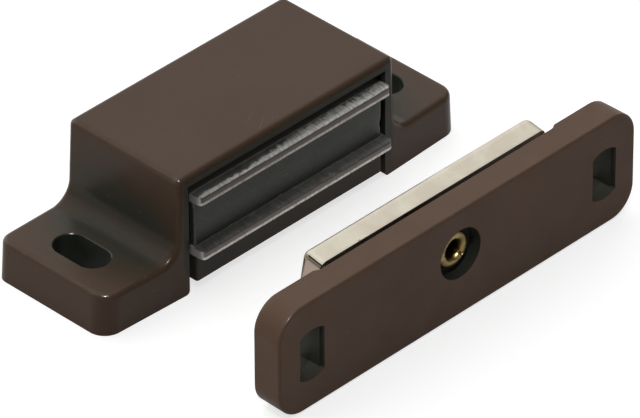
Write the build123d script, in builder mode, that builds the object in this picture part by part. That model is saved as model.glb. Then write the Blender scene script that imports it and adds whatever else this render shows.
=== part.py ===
from build123d import *
import os
from math import cos, radians, sin, tan

os.makedirs("parts", exist_ok=True)

# Magnetic cabinet catch: a magnet housing lying on its base, and the counter piece
# standing in front of it.  Millimetres, +Z up.  The origin is on the housing's base,
# midway between its two screw slots.  The magnet's pole plates face -Y.

# ---- pole plates and magnet: the housing is built around these ----
pole_length = 31.2
pole_depth = 16.0
pole_thickness = 1.25
pole_ear_reach = 0.9         # how far the ears behind the front rims stand out
pole_ear_depth = 3.0
ear_behind_edge = 3.8        # ears behind the plate's front edge
pole_corner = 0.6
pole_edge_bevel = 0.22
lower_pole_proud = 1.55      # how far each plate stands out of the front plane
upper_pole_proud = 1.05
lower_pole_shift = 0.2       # the plates lie a little to one side of their clearance
upper_pole_shift = 0.35
magnet_inset = 0.35          # the magnet ends this far inside the ends of the plates
magnet_height = 6.0
magnet_depth = 11.0
magnet_proud = 0.1
magnet_edge = 0.35

# ---- clearances around the magnet pack ----
pole_side_play = 0.47        # between a plate's ends and the mouth of the housing
ear_side_play = 0.4
ear_travel = 1.9             # free length of the ear pockets
pole_back_play = 1.75
pole_head_room = 1.45

# ---- housing, outside ----
flange_height = 5.5
body_wall = 1.175            # beside the ear pockets, at the base
back_wall = 1.7
top_wall = 1.4
end_draft = 3.0              # degrees, ends of the flanges
body_draft = 2.0             # degrees, end walls of the body
back_draft = 1.35            # degrees, back face
front_taper = 0.62           # how far the front face falls back at each end
shoulder_radius = 2.7        # hollow from the flange up into the body
flange_corner = 2.4
flange_back_corner = 1.6
body_edge_round = 0.7
overshoot = 1.0              # cutting shapes run this far past the faces they open

# ---- housing, screw slots: 48 mm apart, for 3.5 mm screws ----
slot_from_body = 5.925       # slot centres outside the body's end walls
slot_to_end = 5.2
slot_set_back = 0.2          # slot centres behind the middle of the depth
slot_width = 4.2
slot_length = 7.8
slot_lip = 0.12              # small bevel around each slot

# ---- housing, inside ----
front_rim = 1.7              # depth of the rims that hold the ears back
rim_foot_round = 0.55        # lower inner corner of each rim
flange_skin = 1.6            # walls left around the cored underside of each flange
slot_boss_wall = 1.3
core_depth = 3.9
core_corner = 1.0

# ---- retainer under the magnet pack ----
retainer_bottom = 1.4
retainer_height = 3.65
retainer_nose_inset = 0.45   # the nose ends this far inside the ends of the plates
retainer_nose_proud = 0.27
retainer_shoulder = 7.0      # its full width starts this far behind the front plane
retainer_skin = 1.25
retainer_nose_round = 0.3
retainer_play = 0.05         # between the retainer and the housing, all round
snap_length = 6.0
snap_reach = 0.75            # how far each snap lug enters the side wall
snap_below_top = 1.15        # top of each lug below the top of the retainer
snap_height = 1.5
snap_from_front = 12.6
snap_root = 0.3              # the lugs grow out of the wall from this far inside it
snap_lead = 0.7              # straight edge above the sloping lead-in

# ---- counter piece, bar ----
bar_slot_to_end = 5.2
bar_height = 14.6
bar_thickness = 4.15
waist_step = 0.5             # how far the waist lies behind the raised ends
waist_margin = 0.3           # flat waist beyond each end of the strike plate
waist_ramp = 1.4
bar_corner = 3.7
bar_edge_round = 0.35        # on the door side
bar_rear_bevel = 0.12        # on the strike side
bar_draft = 1.0
bar_offset = 2.52            # bar's middle from the housing's middle, along X
bar_gap = 24.94              # door side of the bar in front of the front plane
bar_slot_radius = 3.45
bar_slot_width = 3.9
bar_slot_ledge = 0.2
bar_slot_ledge_depth = 0.65
screw_seat_width = 7.0
screw_seat_length = 9.6
screw_seat_depth = 0.4
rivet_above_middle = 1.3     # rivet axis above the middle of the bar
counterbore_gap = 0.9        # free ring around the rolled rim
counterbore_depth = 1.75
pillar_foot_radius = 4.2
pillar_tip_radius = 2.4

# ---- counter piece, strike plate ----
strike_overlap = 2.9         # the strike reaches past each end of the pole plates
strike_inset = 0.6           # bar's height beyond the strike's, above and below
strike_depth = 2.98
strike_sheet = 0.8
strike_fold = 1.0
strike_corner = 1.05         # plan corner, tight enough to leave the folds separate
strike_slit = 0.16           # open seam along each folded corner
strike_relief = 1.1          # notch where the folds meet the web
strike_tilt = 10.0           # degrees, hanging at one end of its free play
strike_stand_off = 7.86      # middle of the web from the door side of the bar
strike_hole_play = 0.25      # between the rivet's shank and the hole, all round
strike_drop = 0.12           # the plate hangs on the rivet by the top of its hole

# ---- counter piece, tubular rivet ----
rivet_shank_radius = 1.5
rivet_clearance = 0.05
rivet_bore_radius = 1.15
rivet_bore_depth = 4.6
rivet_mouth_radius = 1.35
rivet_rim_radius = 2.4
rivet_rim_height = 0.75
rivet_head_radius = 2.2
rivet_head_height = 0.7
rivet_head_bevel = 0.35
rivet_play = 0.04            # between the tilted plate and what stops it
rim_inner_drop = 0.15        # where the rolled rim's crest begins, inside and outside
rim_outer_drop = 0.2
rim_outer_inset = 0.1

# ---- sizes and places that follow ----
tolerance = 0.01             # for telling edges apart by where they lie
pole_ear_length = pole_length + 2 * pole_ear_reach
magnet_length = pole_length - 2 * magnet_inset
opening_width = pole_length + 2 * pole_side_play
ear_pocket_width = pole_ear_length + 2 * ear_side_play
ear_pocket_depth = pole_ear_depth + ear_travel

retainer_top = retainer_bottom + retainer_height
magnet_z = retainer_top + pole_thickness
upper_pole_z = magnet_z + magnet_height
ceiling_height = upper_pole_z + pole_thickness + pole_head_room
housing_height = ceiling_height + top_wall
housing_depth = pole_depth - upper_pole_proud + pole_back_play + back_wall
body_width = ear_pocket_width + 2 * body_wall
slot_spacing = body_width + 2 * slot_from_body
housing_length = slot_spacing + 2 * slot_to_end
slot_from_front = housing_depth / 2 + slot_set_back

front_y = -slot_from_front
back_y = front_y + housing_depth
cavity_back_y = back_y - back_wall
half_length = housing_length / 2
half_body = body_width / 2
half_opening = opening_width / 2
core_inner = half_body + slot_boss_wall
flange_top_half = half_length - flange_height * tan(radians(end_draft))
body_foot_half = half_body - flange_height * tan(radians(body_draft))
body_top_half = half_body - housing_height * tan(radians(body_draft))

retainer_half = half_opening - retainer_play
retainer_nose_length = pole_length - 2 * retainer_nose_inset
snap_top = retainer_top - snap_below_top
snap_bottom = snap_top - snap_height

bar_length = slot_spacing + 2 * bar_slot_to_end
bar_waist = bar_thickness - waist_step
bar_y = front_y - bar_gap
bar_mid_z = bar_height / 2
rivet_height = bar_mid_z + rivet_above_middle
strike_length = pole_length + 2 * strike_overlap
strike_height = bar_height - 2 * strike_inset
strike_hole_radius = rivet_shank_radius + strike_hole_play
waist_half_length = strike_length / 2 + waist_margin
counterbore_radius = rivet_rim_radius + counterbore_gap
tilt = radians(strike_tilt)
web_half = strike_sheet / 2 / cos(tilt)
pillar_tip = strike_stand_off - web_half - pillar_tip_radius * tan(tilt) - rivet_play
rivet_head_seat = strike_stand_off + web_half + rivet_head_radius * tan(tilt) + rivet_play


# ---- housing: moulded block with two drilled feet, open below and in front ----
with BuildPart() as housing:
    with BuildSketch(Plane.XZ.offset(-back_y)) as front_view:
        with BuildLine():
            Polyline(
                (0, 0),
                (half_length, 0),
                (flange_top_half, flange_height),
                (body_foot_half, flange_height),
                (body_top_half, housing_height),
                (0, housing_height),
                close=True,
            )
        make_face()
        shoulder = front_view.vertices().sort_by_distance((body_foot_half, flange_height))[0]
        fillet(shoulder, shoulder_radius)
        mirror(about=Plane.YZ)
    extrude(amount=housing_depth)

    # the front face falls back a little towards each end
    with BuildSketch(Plane.XY) as front_wedge:
        with BuildLine():
            Polyline(
                (half_opening, front_y),
                (half_length, front_y + front_taper),
                (half_length + overshoot, front_y + front_taper),
                (half_length + overshoot, front_y - overshoot),
                (half_opening, front_y - overshoot),
                close=True,
            )
        make_face()
        mirror(about=Plane.YZ)
    extrude(amount=housing_height, mode=Mode.SUBTRACT)
    draft(housing.faces().sort_by(Axis.Y)[-1], Plane.XY, back_draft)

    # rounded corner posts on the feet, then one even round along every upper edge;
    # the tangent lines at each end of the shoulders stay as they are
    posts = housing.edges().filter_by(lambda e: 0 < e.center().Z < flange_height)
    posts = posts.filter_by(lambda e: abs(e.center().X) > flange_top_half)
    fillet(posts.group_by(Axis.Y)[0], flange_corner)
    fillet(posts.group_by(Axis.Y)[-1], flange_back_corner)
    upper = housing.edges().filter_by(lambda e: e.center().Z > flange_height - tolerance)
    across = upper.filter_by(Axis.Y).filter_by(lambda e: e.center().Z < housing_height - tolerance)
    tangent_lines = across.filter_by(lambda e: abs(e.center().X) < flange_top_half - tolerance)
    fillet(upper - tangent_lines, body_edge_round)

    # the magnet pocket opens forwards and downwards, with wider pockets for the ears
    with BuildSketch(Plane.XY) as pocket_plan:
        with Locations((0, front_y - overshoot)):
            Rectangle(
                opening_width,
                cavity_back_y - front_y + overshoot,
                align=(Align.CENTER, Align.MIN),
            )
        with Locations((0, front_y + front_rim)):
            Rectangle(ear_pocket_width, ear_pocket_depth, align=(Align.CENTER, Align.MIN))
    extrude(amount=ceiling_height, mode=Mode.SUBTRACT)
    mouth = housing.edges().filter_by(Axis.Y).group_by(Axis.Z)[0]
    mouth = mouth.filter_by(lambda e: abs(abs(e.center().X) - half_opening) < tolerance)
    fillet(mouth.filter_by(lambda e: e.center().Y < front_y + front_rim), rim_foot_round)

    # grooves that the retainer's lugs snap into
    with BuildSketch(Plane.XY.offset(snap_bottom)) as snap_grooves:
        with Locations((0, front_y + snap_from_front)):
            Rectangle(opening_width + 2 * (snap_reach + retainer_play), snap_length + 2 * retainer_play)
    extrude(amount=snap_top + retainer_play - snap_bottom, mode=Mode.SUBTRACT)

    # screw slots, and feet cored from below around the walls of the slots
    with BuildSketch(Plane.XY) as cores:
        with BuildLine():
            Polyline(
                (core_inner, front_y + front_taper + flange_skin),
                (half_length - flange_skin, front_y + front_taper + flange_skin),
                (half_length - flange_skin, back_y - flange_skin),
                (core_inner, back_y - flange_skin),
                close=True,
            )
        make_face()
        fillet(cores.vertices(), core_corner)
        with Locations((slot_spacing / 2, 0)):
            SlotOverall(
                slot_length + 2 * slot_boss_wall,
                slot_width + 2 * slot_boss_wall,
                rotation=90,
                mode=Mode.SUBTRACT,
            )
        mirror(about=Plane.YZ)
    extrude(amount=core_depth, mode=Mode.SUBTRACT)
    with BuildSketch(Plane.XY) as slots:
        with GridLocations(slot_spacing, 1, 2, 1):
            SlotOverall(slot_length, slot_width, rotation=90)
    extrude(amount=flange_height, mode=Mode.SUBTRACT)
    chamfer(housing.edges(Select.LAST).group_by(Axis.Z)[-1], slot_lip)
housing.part.label = "housing"
export_step(housing.part, "parts/housing.step")


# ---- retainer: cored tray that snaps in from below and carries the magnet pack ----
with BuildPart() as magnet_retainer:
    with BuildSketch(Plane.XY.offset(retainer_bottom)) as tray_plan:
        with Locations((0, front_y - retainer_nose_proud)):
            Rectangle(
                retainer_nose_length,
                cavity_back_y - retainer_play - front_y + retainer_nose_proud,
                align=(Align.CENTER, Align.MIN),
            )
        with Locations((0, front_y + retainer_shoulder)):
            Rectangle(
                2 * retainer_half,
                cavity_back_y - retainer_play - front_y - retainer_shoulder,
                align=(Align.CENTER, Align.MIN),
            )
    extrude(amount=retainer_top - retainer_bottom)
    fillet(magnet_retainer.edges().filter_by(Axis.Z).group_by(Axis.Y)[0], retainer_nose_round)
    # the coring leaves an even wall under the plate
    with BuildSketch(Plane.XY.offset(retainer_bottom)) as tray_core:
        add(tray_plan.sketch)
        offset(amount=-retainer_skin, mode=Mode.REPLACE)
    extrude(amount=retainer_top - retainer_skin - retainer_bottom, mode=Mode.SUBTRACT)
    # wedge-shaped snap lugs: square on top, sloping underneath
    with BuildSketch(Plane.XZ.offset(-(front_y + snap_from_front + snap_length / 2))) as lug:
        with BuildLine():
            Polyline(
                (retainer_half - snap_root, snap_bottom),
                (retainer_half, snap_bottom),
                (retainer_half + snap_reach, snap_top - snap_lead),
                (retainer_half + snap_reach, snap_top),
                (retainer_half - snap_root, snap_top),
                close=True,
            )
        make_face()
        mirror(about=Plane.YZ)
    extrude(amount=snap_length)
magnet_retainer.part.label = "magnet_retainer"
export_step(magnet_retainer.part, "parts/magnet_retainer.step")


# ---- pole plates: one stamping used twice, each lying loose in its clearance ----
pole_places = {
    "lower_pole_plate": (lower_pole_shift, front_y - lower_pole_proud, retainer_top),
    "upper_pole_plate": (upper_pole_shift, front_y - upper_pole_proud, upper_pole_z),
}
for pole_name, (pole_x, pole_y, pole_z) in pole_places.items():
    with BuildPart() as pole_plate:
        with BuildSketch(Plane((pole_x, pole_y, pole_z))) as stamping:
            Rectangle(pole_length, pole_depth, align=(Align.CENTER, Align.MIN))
            with Locations((0, ear_behind_edge)):
                Rectangle(pole_ear_length, pole_ear_depth, align=(Align.CENTER, Align.MIN))
            fillet(stamping.vertices().group_by(Axis.Y)[0], pole_corner)
        extrude(amount=pole_thickness)
        nose = pole_plate.edges().filter_by(Plane.XY).group_by(Axis.Y)[0]
        chamfer(nose, pole_edge_bevel)
    pole_plate.part.label = pole_name
    export_step(pole_plate.part, f"parts/{pole_name}.step")


# ---- magnet: ferrite bar between the pole plates ----
with BuildPart() as magnet_block:
    with BuildSketch(Plane((0, front_y - magnet_proud, magnet_z))) as magnet_plan:
        Rectangle(magnet_length, magnet_depth, align=(Align.CENTER, Align.MIN))
        chamfer(magnet_plan.vertices(), magnet_edge)
    extrude(amount=magnet_height)
magnet_block.part.label = "magnet_block"
export_step(magnet_block.part, "parts/magnet_block.step")


# ---- counter bar: strap with raised ends, screw slots and a pillar for the strike ----
bar_back = Plane((bar_offset, bar_y, 0), x_dir=(1, 0, 0), z_dir=(0, 1, 0))
bar_front = bar_back.offset(bar_thickness)
with BuildPart() as counter_bar:
    # seen from the door side the sketch's y points down, so heights are negative
    with BuildSketch(bar_back) as strap:
        with Locations((0, -bar_mid_z)):
            RectangleRounded(bar_length, bar_height, bar_corner)
    extrude(amount=bar_thickness, taper=bar_draft)
    fillet(counter_bar.faces().sort_by(Axis.Y)[0].edges(), bar_edge_round)
    chamfer(counter_bar.faces().sort_by(Axis.Y)[-1].edges(), bar_rear_bevel)

    # the waist is set back between the two ends, with an eased ramp at each side
    with BuildSketch(Plane.XY) as waist:
        with BuildLine():
            low = bar_y + bar_waist
            high = bar_y + bar_thickness
            inner = bar_offset + waist_half_length
            Spline(
                (inner, low),
                (inner + waist_ramp, high),
                tangents=((1, 0), (1, 0)),
            )
            Polyline(
                (inner + waist_ramp, high),
                (inner + waist_ramp, high + overshoot),
                (bar_offset, high + overshoot),
                (bar_offset, low),
                (inner, low),
            )
        make_face()
        mirror(about=Plane.YZ.offset(bar_offset))
    extrude(amount=bar_height, mode=Mode.SUBTRACT)

    # pillar that the strike plate rocks on
    with BuildSketch(bar_back.offset(bar_waist)) as pillar_foot:
        with Locations((0, -rivet_height)):
            Circle(pillar_foot_radius)
    with BuildSketch(bar_back.offset(pillar_tip)) as pillar_end:
        with Locations((0, -rivet_height)):
            Circle(pillar_tip_radius)
    loft()

    # rivet hole, with a counterbore for the rolled rim on the door side
    with BuildSketch(bar_back) as rivet_hole:
        with Locations((0, -rivet_height)):
            Circle(rivet_shank_radius + rivet_clearance)
    extrude(amount=pillar_tip, mode=Mode.SUBTRACT)
    with BuildSketch(bar_back) as counterbore:
        with Locations((0, -rivet_height)):
            Circle(counterbore_radius)
    extrude(amount=counterbore_depth, mode=Mode.SUBTRACT)

    # screw slots: a circle cut off by two flats, stepped on the door side
    for flat_width, reach in (
        (bar_slot_width, bar_slot_ledge_depth),
        (bar_slot_width - 2 * bar_slot_ledge, bar_thickness),
    ):
        with BuildSketch(bar_back) as screw_slot:
            with GridLocations(slot_spacing, 1, 2, 1):
                with Locations((0, -bar_mid_z)):
                    Circle(bar_slot_radius)
            with Locations((0, -bar_mid_z)):
                with GridLocations(slot_spacing, 1, 2, 1):
                    Rectangle(flat_width, bar_height, mode=Mode.INTERSECT)
        extrude(amount=reach, mode=Mode.SUBTRACT)
    # seats for the screw heads on the strike side
    with BuildSketch(bar_front) as screw_seat:
        with Locations((0, -bar_mid_z)):
            with GridLocations(slot_spacing, 1, 2, 1):
                SlotOverall(screw_seat_length, screw_seat_width, rotation=90)
    extrude(amount=-screw_seat_depth, mode=Mode.SUBTRACT)
counter_bar.part.label = "counter_bar"
export_step(counter_bar.part, "parts/counter_bar.step")


# ---- strike plate: folded steel tray, leaning at one end of its free play ----
strike_place = Plane(
    (bar_offset, bar_y + strike_stand_off, rivet_height - strike_drop),
    x_dir=(1, 0, 0),
    z_dir=(0, cos(tilt), sin(tilt)),
)
web_outside = strike_place.offset(strike_sheet / 2)
with BuildPart() as strike_plate:
    with BuildSketch(web_outside) as blank:
        RectangleRounded(strike_length, strike_height, strike_corner)
    extrude(amount=-strike_depth)
    outwards = Axis(strike_place.origin, strike_place.z_dir)
    fillet(strike_plate.faces().sort_by(outwards)[-1].edges(), strike_fold)
    offset(amount=-strike_sheet, openings=strike_plate.faces().sort_by(outwards)[0])
    # the four flanges are folded separately, so each corner keeps an open mitred seam
    with BuildSketch(web_outside.offset(-strike_depth)) as seams:
        for side in (-1, 1):
            for edge in (-1, 1):
                with Locations((side * strike_length / 2, edge * strike_height / 2)):
                    Rectangle(4 * strike_sheet, strike_slit, rotation=45 * side * edge)
    extrude(amount=strike_depth - strike_sheet, mode=Mode.SUBTRACT)
    # relief notches beside the web, where an end flange meets the long folds
    with BuildSketch(web_outside) as reliefs:
        with GridLocations(strike_length, strike_height, 2, 2):
            Rectangle(strike_sheet, 2 * strike_sheet)
    extrude(amount=-strike_relief, mode=Mode.SUBTRACT)
    with BuildSketch(web_outside) as rivet_eye:
        Circle(strike_hole_radius)
    extrude(amount=-strike_sheet, mode=Mode.SUBTRACT)
strike_plate.part.label = "strike_plate"
export_step(strike_plate.part, "parts/strike_plate.step")


# ---- tubular rivet: rolled rim in the counterbore, low head in front of the strike ----
rim_crest = counterbore_depth - rivet_rim_height
bore_end = rim_crest + rivet_bore_depth
rim_middle = (rivet_rim_radius + rivet_mouth_radius) / 2
half_plane = Plane((bar_offset, bar_y, rivet_height), x_dir=(0, 1, 0), z_dir=(1, 0, 0))
with BuildPart() as tubular_rivet:
    with BuildSketch(half_plane) as half_section:
        with BuildLine():
            Polyline(
                (counterbore_depth, rivet_rim_radius),
                (counterbore_depth, rivet_shank_radius),
                (rivet_head_seat, rivet_shank_radius),
                (rivet_head_seat, rivet_head_radius),
                (rivet_head_seat + rivet_head_height, rivet_head_radius),
                (rivet_head_seat + rivet_head_height, 0),
                (bore_end, 0),
                (bore_end, rivet_bore_radius),
                (counterbore_depth + rivet_rim_height, rivet_bore_radius),
                (rim_crest + rim_inner_drop, rivet_mouth_radius),
            )
            ThreePointArc(
                (rim_crest + rim_inner_drop, rivet_mouth_radius),
                (rim_crest, rim_middle),
                (rim_crest + rim_outer_drop, rivet_rim_radius - rim_outer_inset),
            )
            Line(
                (rim_crest + rim_outer_drop, rivet_rim_radius - rim_outer_inset),
                (counterbore_depth, rivet_rim_radius),
            )
        make_face()
    revolve(axis=Axis((bar_offset, bar_y, rivet_height), (0, 1, 0)))
    chamfer(tubular_rivet.edges().group_by(Axis.Y)[-1], rivet_head_bevel)
tubular_rivet.part.label = "tubular_rivet"
export_step(tubular_rivet.part, "parts/tubular_rivet.step")
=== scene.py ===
import bpy
import bmesh
import math
from mathutils import Matrix, Vector, noise as noiseTools


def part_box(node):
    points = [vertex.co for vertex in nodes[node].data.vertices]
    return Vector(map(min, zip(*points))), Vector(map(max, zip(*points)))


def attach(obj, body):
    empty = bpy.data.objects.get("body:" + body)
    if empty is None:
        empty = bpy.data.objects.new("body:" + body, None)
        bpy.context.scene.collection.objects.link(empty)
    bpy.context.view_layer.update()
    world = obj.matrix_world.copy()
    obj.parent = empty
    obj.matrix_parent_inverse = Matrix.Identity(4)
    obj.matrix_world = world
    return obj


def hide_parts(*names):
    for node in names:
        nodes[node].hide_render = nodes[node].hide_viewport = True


# Magnetic catch: dark brown moulded housing with its magnet pack, and the loose
# counter piece with its rocking plated strike. Metres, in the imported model's frame.

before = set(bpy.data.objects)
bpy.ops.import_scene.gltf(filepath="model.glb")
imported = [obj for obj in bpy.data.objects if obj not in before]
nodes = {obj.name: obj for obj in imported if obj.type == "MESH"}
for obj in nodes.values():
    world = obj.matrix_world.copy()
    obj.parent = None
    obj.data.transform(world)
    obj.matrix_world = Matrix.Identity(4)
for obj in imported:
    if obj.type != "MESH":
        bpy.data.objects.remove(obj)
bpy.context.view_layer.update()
scene = bpy.context.scene
print("frame loaded:", ", ".join(sorted(nodes)))

mm = 0.001


# small helpers for node trees

def addNode(tree, kind, values=None, **settings):
    made = tree.nodes.new(kind)
    for name, value in settings.items():
        setattr(made, name, value)
    for key, value in (values or {}).items():
        socket = made.inputs[key]
        if isinstance(value, bpy.types.NodeSocket):
            tree.links.new(value, socket)
        else:
            socket.default_value = value
    return made


def maths(tree, operation, first, second=0.0, third=0.0, clamp=False):
    made = addNode(tree, "ShaderNodeMath", {0: first, 1: second, 2: third},
                   operation=operation, use_clamp=clamp)
    return made.outputs[0]


def ramp(tree, value, low, high, toLow=0.0, toHigh=1.0, smooth=True):
    kind = "SMOOTHSTEP" if smooth else "LINEAR"
    made = addNode(tree, "ShaderNodeMapRange",
                   {"Value": value, "From Min": low, "From Max": high,
                    "To Min": toLow, "To Max": toHigh}, interpolation_type=kind)
    return made.outputs["Result"]


def mixColors(tree, factor, first, second, blend="MIX"):
    made = addNode(tree, "ShaderNodeMix", data_type="RGBA", blend_type=blend)
    for name, value in (("Factor_Float", factor), ("A_Color", first), ("B_Color", second)):
        socket = next(s for s in made.inputs if s.identifier == name)
        if isinstance(value, bpy.types.NodeSocket):
            tree.links.new(value, socket)
        else:
            socket.default_value = value
    return next(s for s in made.outputs if s.identifier == "Result_Color")


def noise(tree, place, scale, detail=2.0, roughness=0.5, distortion=0.0):
    made = addNode(tree, "ShaderNodeTexNoise",
                   {"Vector": place, "Scale": scale, "Detail": detail,
                    "Roughness": roughness, "Distortion": distortion})
    return made.outputs["Fac"]


def stretched(tree, place, scale, turn=(0.0, 0.0, 0.0)):
    made = addNode(tree, "ShaderNodeMapping", {"Vector": place, "Scale": scale, "Rotation": turn})
    return made.outputs["Vector"]


def newGroup(name, inputs, outputs):
    group = bpy.data.node_groups.new(name, "ShaderNodeTree")
    kinds = {"v": "NodeSocketVector", "f": "NodeSocketFloat", "c": "NodeSocketColor"}
    for label, kind, default in inputs:
        made = group.interface.new_socket(label, in_out="INPUT", socket_type=kinds[kind])
        if default is not None:
            made.default_value = default
    for label, kind in outputs:
        group.interface.new_socket(label, in_out="OUTPUT", socket_type=kinds[kind])
    return group, group.nodes.new("NodeGroupInput").outputs, group.nodes.new("NodeGroupOutput").inputs


def useGroup(tree, group, values):
    made = addNode(tree, "ShaderNodeGroup")
    made.node_tree = group
    for key, value in values.items():
        if isinstance(value, bpy.types.NodeSocket):
            tree.links.new(value, made.inputs[key])
        else:
            made.inputs[key].default_value = value
    return made.outputs


# effects that several finishes share

def buildEdgeGroup():
    # convex edges, found by how little material lies behind the surface, broken up by noise
    group, given, out = newGroup(
        "edgeRub",
        [("Vector", "v", None), ("Radius", "f", 0.0006), ("Low", "f", 0.05), ("High", "f", 0.4),
         ("Break Scale", "f", 900.0), ("Break", "f", 0.5)],
        [("Mask", "f")])
    behind = addNode(group, "ShaderNodeAmbientOcclusion", {"Distance": given["Radius"]},
                     samples=8, inside=True, only_local=True)
    turn = maths(group, "SUBTRACT", 1.0, behind.outputs["AO"])
    patch = noise(group, given["Vector"], given["Break Scale"], 3.0, 0.6)
    patch = maths(group, "MULTIPLY_ADD", maths(group, "SUBTRACT", patch, 0.5), given["Break"], 0.0)
    edge = addNode(group, "ShaderNodeMapRange",
                   {"Value": maths(group, "ADD", turn, maths(group, "MULTIPLY", patch, turn)),
                    "From Min": given["Low"], "From Max": given["High"]},
                   interpolation_type="SMOOTHSTEP")
    group.links.new(edge.outputs["Result"], out["Mask"])
    return group


def buildMouldGroup():
    # the skin of a moulding: slow colour drift, fine grain and a little waviness
    group, given, out = newGroup(
        "mouldSkin",
        [("Vector", "v", None), ("Base", "c", None), ("Warm", "c", None), ("Drift Scale", "f", 90.0),
         ("Grain Scale", "f", 9000.0), ("Grain", "f", 0.3), ("Wave Scale", "f", 260.0), ("Wave", "f", 0.5),
         ("Rough Low", "f", 0.3), ("Rough High", "f", 0.45)],
        [("Color", "c"), ("Roughness", "f"), ("Height", "f")])
    drift = noise(group, given["Vector"], given["Drift Scale"], 3.0, 0.55, 0.4)
    tint = mixColors(group, ramp(group, drift, 0.3, 0.7), given["Base"], given["Warm"])
    grain = noise(group, given["Vector"], given["Grain Scale"], 2.0, 0.6)
    wave = noise(group, given["Vector"], given["Wave Scale"], 2.0, 0.4)
    group.links.new(tint, out["Color"])
    rough = addNode(group, "ShaderNodeMapRange",
                    {"Value": maths(group, "MULTIPLY_ADD", grain, 0.4, maths(group, "MULTIPLY", wave, 0.6)),
                     "From Min": 0.3, "From Max": 0.7,
                     "To Min": given["Rough Low"], "To Max": given["Rough High"]})
    group.links.new(rough.outputs["Result"], out["Roughness"])
    height = maths(group, "MULTIPLY_ADD", wave, given["Wave"],
                   maths(group, "MULTIPLY", grain, given["Grain"]))
    group.links.new(height, out["Height"])
    return group


def buildScratchGroup():
    # short straight scratches in two directions, thinned out by a slow noise
    group, given, out = newGroup(
        "shortScratches",
        [("Vector", "v", None), ("Scale", "f", 120.0), ("Amount", "f", 0.5), ("Turn", "f", 0.0)],
        [("Mask", "f")])
    found = None
    for step, (across, lean) in enumerate(((34.0, 0.5), (27.0, -0.9))):
        turned = addNode(group, "ShaderNodeVectorRotate",
                         {"Vector": given["Vector"], "Axis": (0.25, 0.2, 1.0),
                          "Angle": maths(group, "ADD", given["Turn"], lean)}, rotation_type="AXIS_ANGLE")
        longer = addNode(group, "ShaderNodeVectorMath",
                         {0: turned.outputs[0], 1: (1.0, across, across)}, operation="MULTIPLY")
        lines = noise(group, longer.outputs[0], given["Scale"], 1.0, 0.3)
        thin = noise(group, turned.outputs[0], maths(group, "MULTIPLY", given["Scale"], 0.9), 1.0, 0.5)
        lines = maths(group, "MULTIPLY", ramp(group, lines, 0.73, 0.78), ramp(group, thin, 0.56, 0.66))
        found = lines if found is None else maths(group, "MAXIMUM", found, lines)
    group.links.new(maths(group, "MULTIPLY", found, given["Amount"], clamp=True), out["Mask"])
    return group


def buildSpeckGroup():
    # a few small bright specks of dust and pits, one in so many cells
    group, given, out = newGroup(
        "dustSpecks",
        [("Vector", "v", None), ("Scale", "f", 500.0), ("Size", "f", 0.16), ("Share", "f", 0.06)],
        [("Mask", "f")])
    cells = addNode(group, "ShaderNodeTexVoronoi", {"Vector": given["Vector"], "Scale": given["Scale"]})
    pick = addNode(group, "ShaderNodeSeparateColor", {"Color": cells.outputs["Color"]})
    chosen = maths(group, "LESS_THAN", pick.outputs[0], given["Share"])
    near = addNode(group, "ShaderNodeMapRange",
                   {"Value": cells.outputs["Distance"], "From Min": given["Size"],
                    "From Max": maths(group, "MULTIPLY", given["Size"], 0.5)},
                   interpolation_type="SMOOTHSTEP")
    group.links.new(maths(group, "MULTIPLY", near.outputs["Result"], chosen), out["Mask"])
    return group


def buildCreviceShadeGroup():
    # painted shade where little open air reaches: slots, bores and inside corners
    group, given, out = newGroup(
        "creviceShadeGroup",
        [("Vector", "v", None), ("Reach", "f", 0.004), ("Deep", "f", 0.25), ("Clear", "f", 0.7)],
        [("Mask", "f")])
    air = addNode(group, "ShaderNodeAmbientOcclusion", {"Distance": given["Reach"]},
                  samples=8, only_local=True)
    patch = noise(group, given["Vector"], 700.0, 2.0, 0.6)
    clean = maths(group, "MULTIPLY_ADD", maths(group, "SUBTRACT", patch, 0.5), 0.12, air.outputs["AO"])
    shut = addNode(group, "ShaderNodeMapRange",
                   {"Value": clean, "From Min": given["Clear"], "From Max": given["Deep"]},
                   interpolation_type="SMOOTHSTEP")
    group.links.new(shut.outputs["Result"], out["Mask"])
    return group


edgeRub = buildEdgeGroup()
mouldSkin = buildMouldGroup()
shortScratches = buildScratchGroup()
dustSpecks = buildSpeckGroup()
creviceShadeGroup = buildCreviceShadeGroup()
print("shared effects built")


def newMaterial(name):
    made = bpy.data.materials.new(name)
    made.use_nodes = True
    tree = made.node_tree
    tree.nodes.clear()
    shader = tree.nodes.new("ShaderNodeBsdfPrincipled")
    result = tree.nodes.new("ShaderNodeOutputMaterial")
    tree.links.new(shader.outputs[0], result.inputs["Surface"])
    place = tree.nodes.new("ShaderNodeTexCoord").outputs["Object"]
    return made, tree, shader, place


def feed(tree, shader, **sources):
    for name, source in sources.items():
        tree.links.new(source, shader.inputs[name.replace("_", " ")])


def bump(tree, height, strength, distance):
    return addNode(tree, "ShaderNodeBump",
                   {"Height": height, "Strength": strength, "Distance": distance}).outputs["Normal"]


# brown moulded plastic: housing, retainer and bar

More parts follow.
